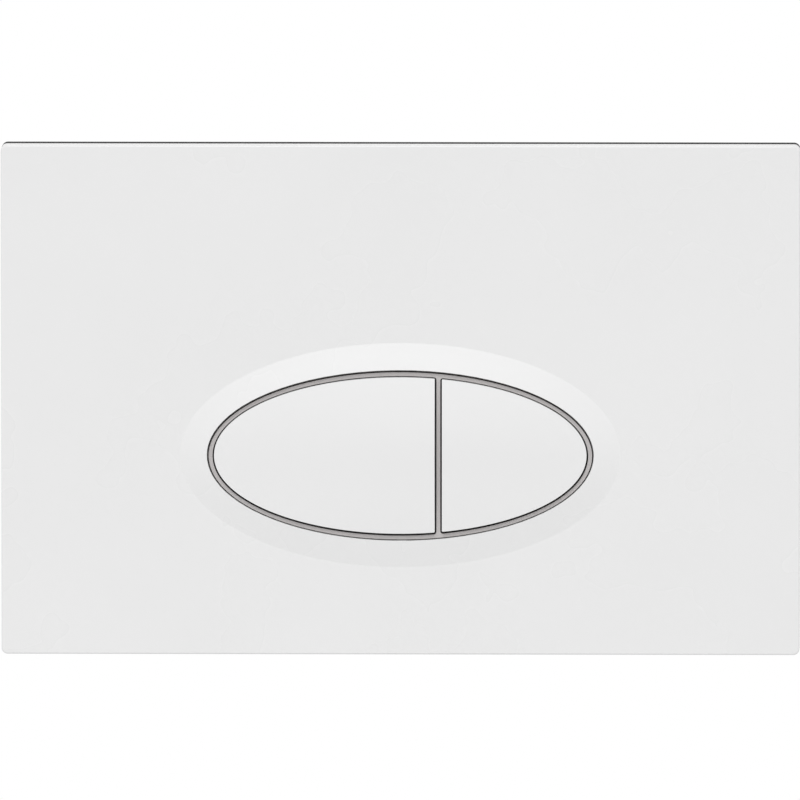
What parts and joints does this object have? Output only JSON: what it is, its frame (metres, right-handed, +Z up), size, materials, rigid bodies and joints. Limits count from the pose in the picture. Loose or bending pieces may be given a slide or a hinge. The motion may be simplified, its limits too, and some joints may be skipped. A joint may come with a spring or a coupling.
{
  "type": "flush button plate",
  "caption": "Rectangular wall plate for a concealed cistern: a raised oval bevel frames crowned full and half flush buttons, which press sprung push rods behind a clip-on frame.",
  "frame": {"origin": "on the wall face, at the middle of the plate's outline", "axes": "+X to the right and +Z up as seen from the room, +Y into the wall"},
  "size_m": [0.25, 0.0916, 0.16],
  "materials": {
    "white_cover": "semi-gloss",
    "white_button": "semi-gloss",
    "grey_carrier": "matte",
    "dark_frame": "matte",
    "natural_acetal": "satin",
    "rod_plastic": "satin",
    "dark_foot": "matte",
    "spring_steel": "bright wire",
    "zinc_steel": "zinc plated"
  },
  "bodies": {
    "housing": {"front_plate": "white_cover", "button_carrier": "grey_carrier", "mounting_frame": "dark_frame", "full_flush_rod_guide": "natural_acetal", "full_flush_spring": "spring_steel", "half_flush_rod_guide": "natural_acetal", "half_flush_spring": "spring_steel", "fixing_rod_left": "zinc_steel", "fixing_washer_left": "zinc_steel", "fixing_nut_left": "zinc_steel", "fixing_rod_right": "zinc_steel", "fixing_washer_right": "zinc_steel", "fixing_nut_right": "zinc_steel"},
    "full_flush_button": {"full_flush_button": "white_button"},
    "full_flush_rod": {"full_flush_plunger": "natural_acetal", "full_flush_push_rod": "rod_plastic", "full_flush_rod_foot": "dark_foot"},
    "half_flush_button": {"half_flush_button": "white_button"},
    "half_flush_rod": {"half_flush_plunger": "natural_acetal", "half_flush_push_rod": "rod_plastic", "half_flush_rod_foot": "dark_foot"}
  },
  "joints": [
    {"name": "full_flush_press", "type": "slide", "parent": "housing", "child": "full_flush_button", "axis": [0, 1, 0], "range_m": [0, 0.006], "stiffness_N_per_m": 800, "springref_m": -0.004},
    {"name": "full_flush_rod_slide", "type": "slide", "parent": "housing", "child": "full_flush_rod", "axis": [0, 1, 0], "range_m": [0, 0.006], "deforming": ["full_flush_spring"]},
    {"name": "half_flush_press", "type": "slide", "parent": "housing", "child": "half_flush_button", "axis": [0, 1, 0], "range_m": [0, 0.006], "stiffness_N_per_m": 800, "springref_m": -0.004},
    {"name": "half_flush_rod_slide", "type": "slide", "parent": "housing", "child": "half_flush_rod", "axis": [0, 1, 0], "range_m": [0, 0.006], "deforming": ["half_flush_spring"]}
  ],
  "couplings": [
    {"joint": "full_flush_rod_slide", "follows": "full_flush_press", "ratio": 1},
    {"joint": "half_flush_rod_slide", "follows": "half_flush_press", "ratio": 1}
  ]
}
